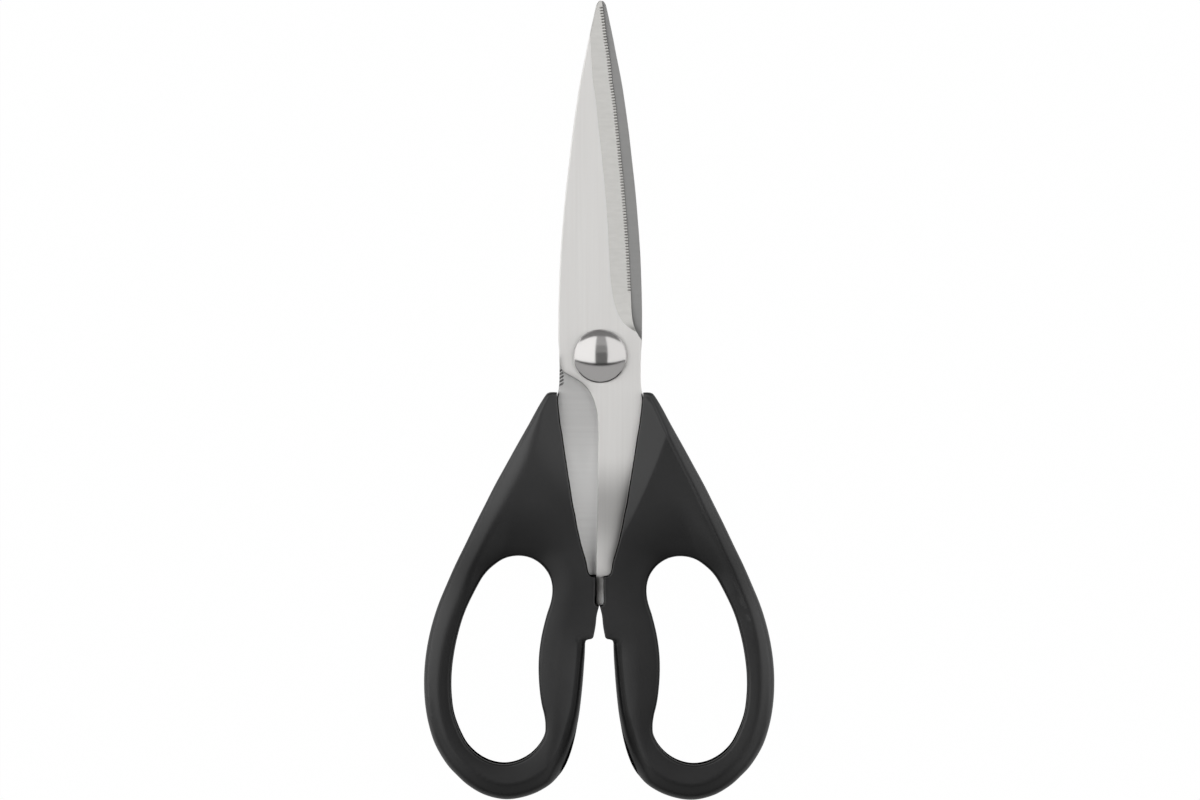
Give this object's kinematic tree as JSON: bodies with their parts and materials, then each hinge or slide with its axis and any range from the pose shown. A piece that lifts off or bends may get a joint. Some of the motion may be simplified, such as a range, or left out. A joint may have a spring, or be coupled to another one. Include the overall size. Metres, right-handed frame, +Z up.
{
  "type": "kitchen shears",
  "caption": "Household kitchen shears with tapered steel blades crossing at a domed rivet and black moulded handles with large finger loops.",
  "frame": {"origin": "under the middle of the overall length and width of the closed shears, on the surface that they lie on", "axes": "+Y along the blades to the tip, +X across the handles, +Z up through the thickness, the domed rivet head facing up"},
  "size_m": [0.092, 0.21, 0.011],
  "materials": {
    "blade_steel": "satin, fine lengthwise grain",
    "rivet_steel": "mirror polished",
    "washer_steel": "plain",
    "handle_plastic": "fine moulded satin"
  },
  "bodies": {
    "rear_half": {"rear_blade": "blade_steel", "left_handle": "handle_plastic", "pivot_rivet": "rivet_steel", "rear_head": "rivet_steel", "pivot_washer": "washer_steel"},
    "front_half": {"front_blade": "blade_steel", "right_handle": "handle_plastic"}
  },
  "joints": [
    {"name": "blade_pivot", "type": "hinge", "parent": "rear_half", "child": "front_half", "pos_m": [0, 0.0115, 0.0055], "axis": [0, 0, 1], "range_deg": [0, 75]}
  ]
}
